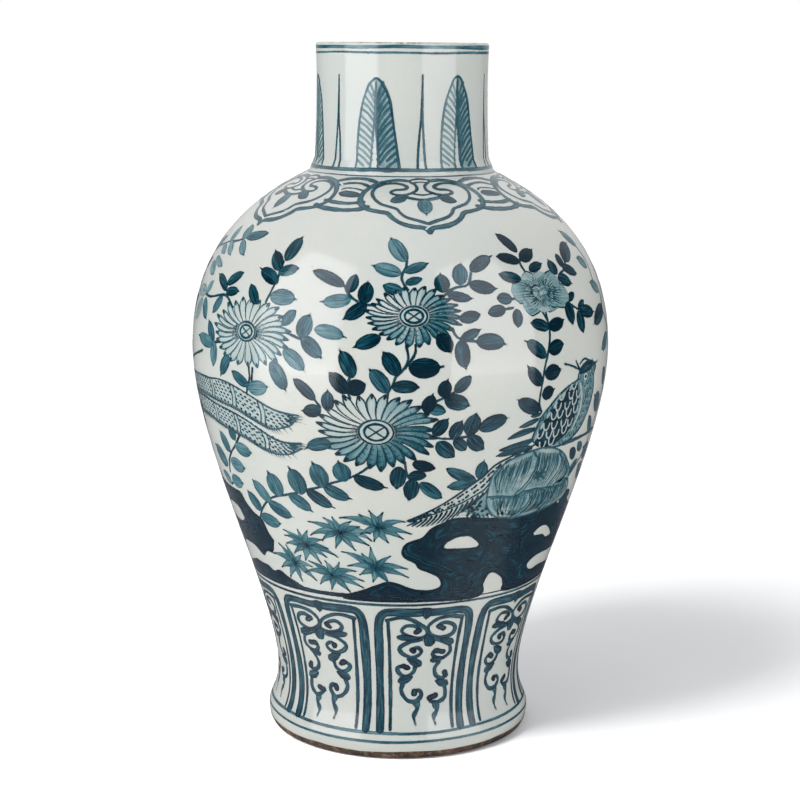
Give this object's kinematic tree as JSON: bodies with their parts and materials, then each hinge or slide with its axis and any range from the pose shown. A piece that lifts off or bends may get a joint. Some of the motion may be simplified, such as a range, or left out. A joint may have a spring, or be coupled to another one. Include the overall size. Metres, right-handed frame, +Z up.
{
  "type": "baluster vase",
  "caption": "Tall glazed baluster vase with a wide straight neck, full shoulder and flared foot, built from thrown clay sections luted with slip.",
  "frame": {"origin": "centre of the foot's standing face, on the surface the vase stands on", "axes": "+Z up the axis on which the vase is turned, towards the mouth; the vase is the same all round, and -Y is the side that the picture shows"},
  "size_m": [0.2726, 0.2726, 0.45],
  "materials": {
    "glazed_wall": "pale greenish-white glaze over underglaze cobalt painting, high gloss; the standing edge is bare clay washed brown",
    "floor_clay": "thin glaze inside the vase, bare clay underneath, matt",
    "slip": "fired clay slip under a thin glaze, satin"
  },
  "bodies": {
    "root": {"lower_wall": "glazed_wall", "middle_wall": "glazed_wall", "shoulder_wall": "glazed_wall", "neck": "glazed_wall", "floor": "floor_clay", "floor_slip": "slip", "lower_seam_slip": "slip", "belly_seam_slip": "slip", "neck_seam_slip": "slip"}
  },
  "joints": []
}
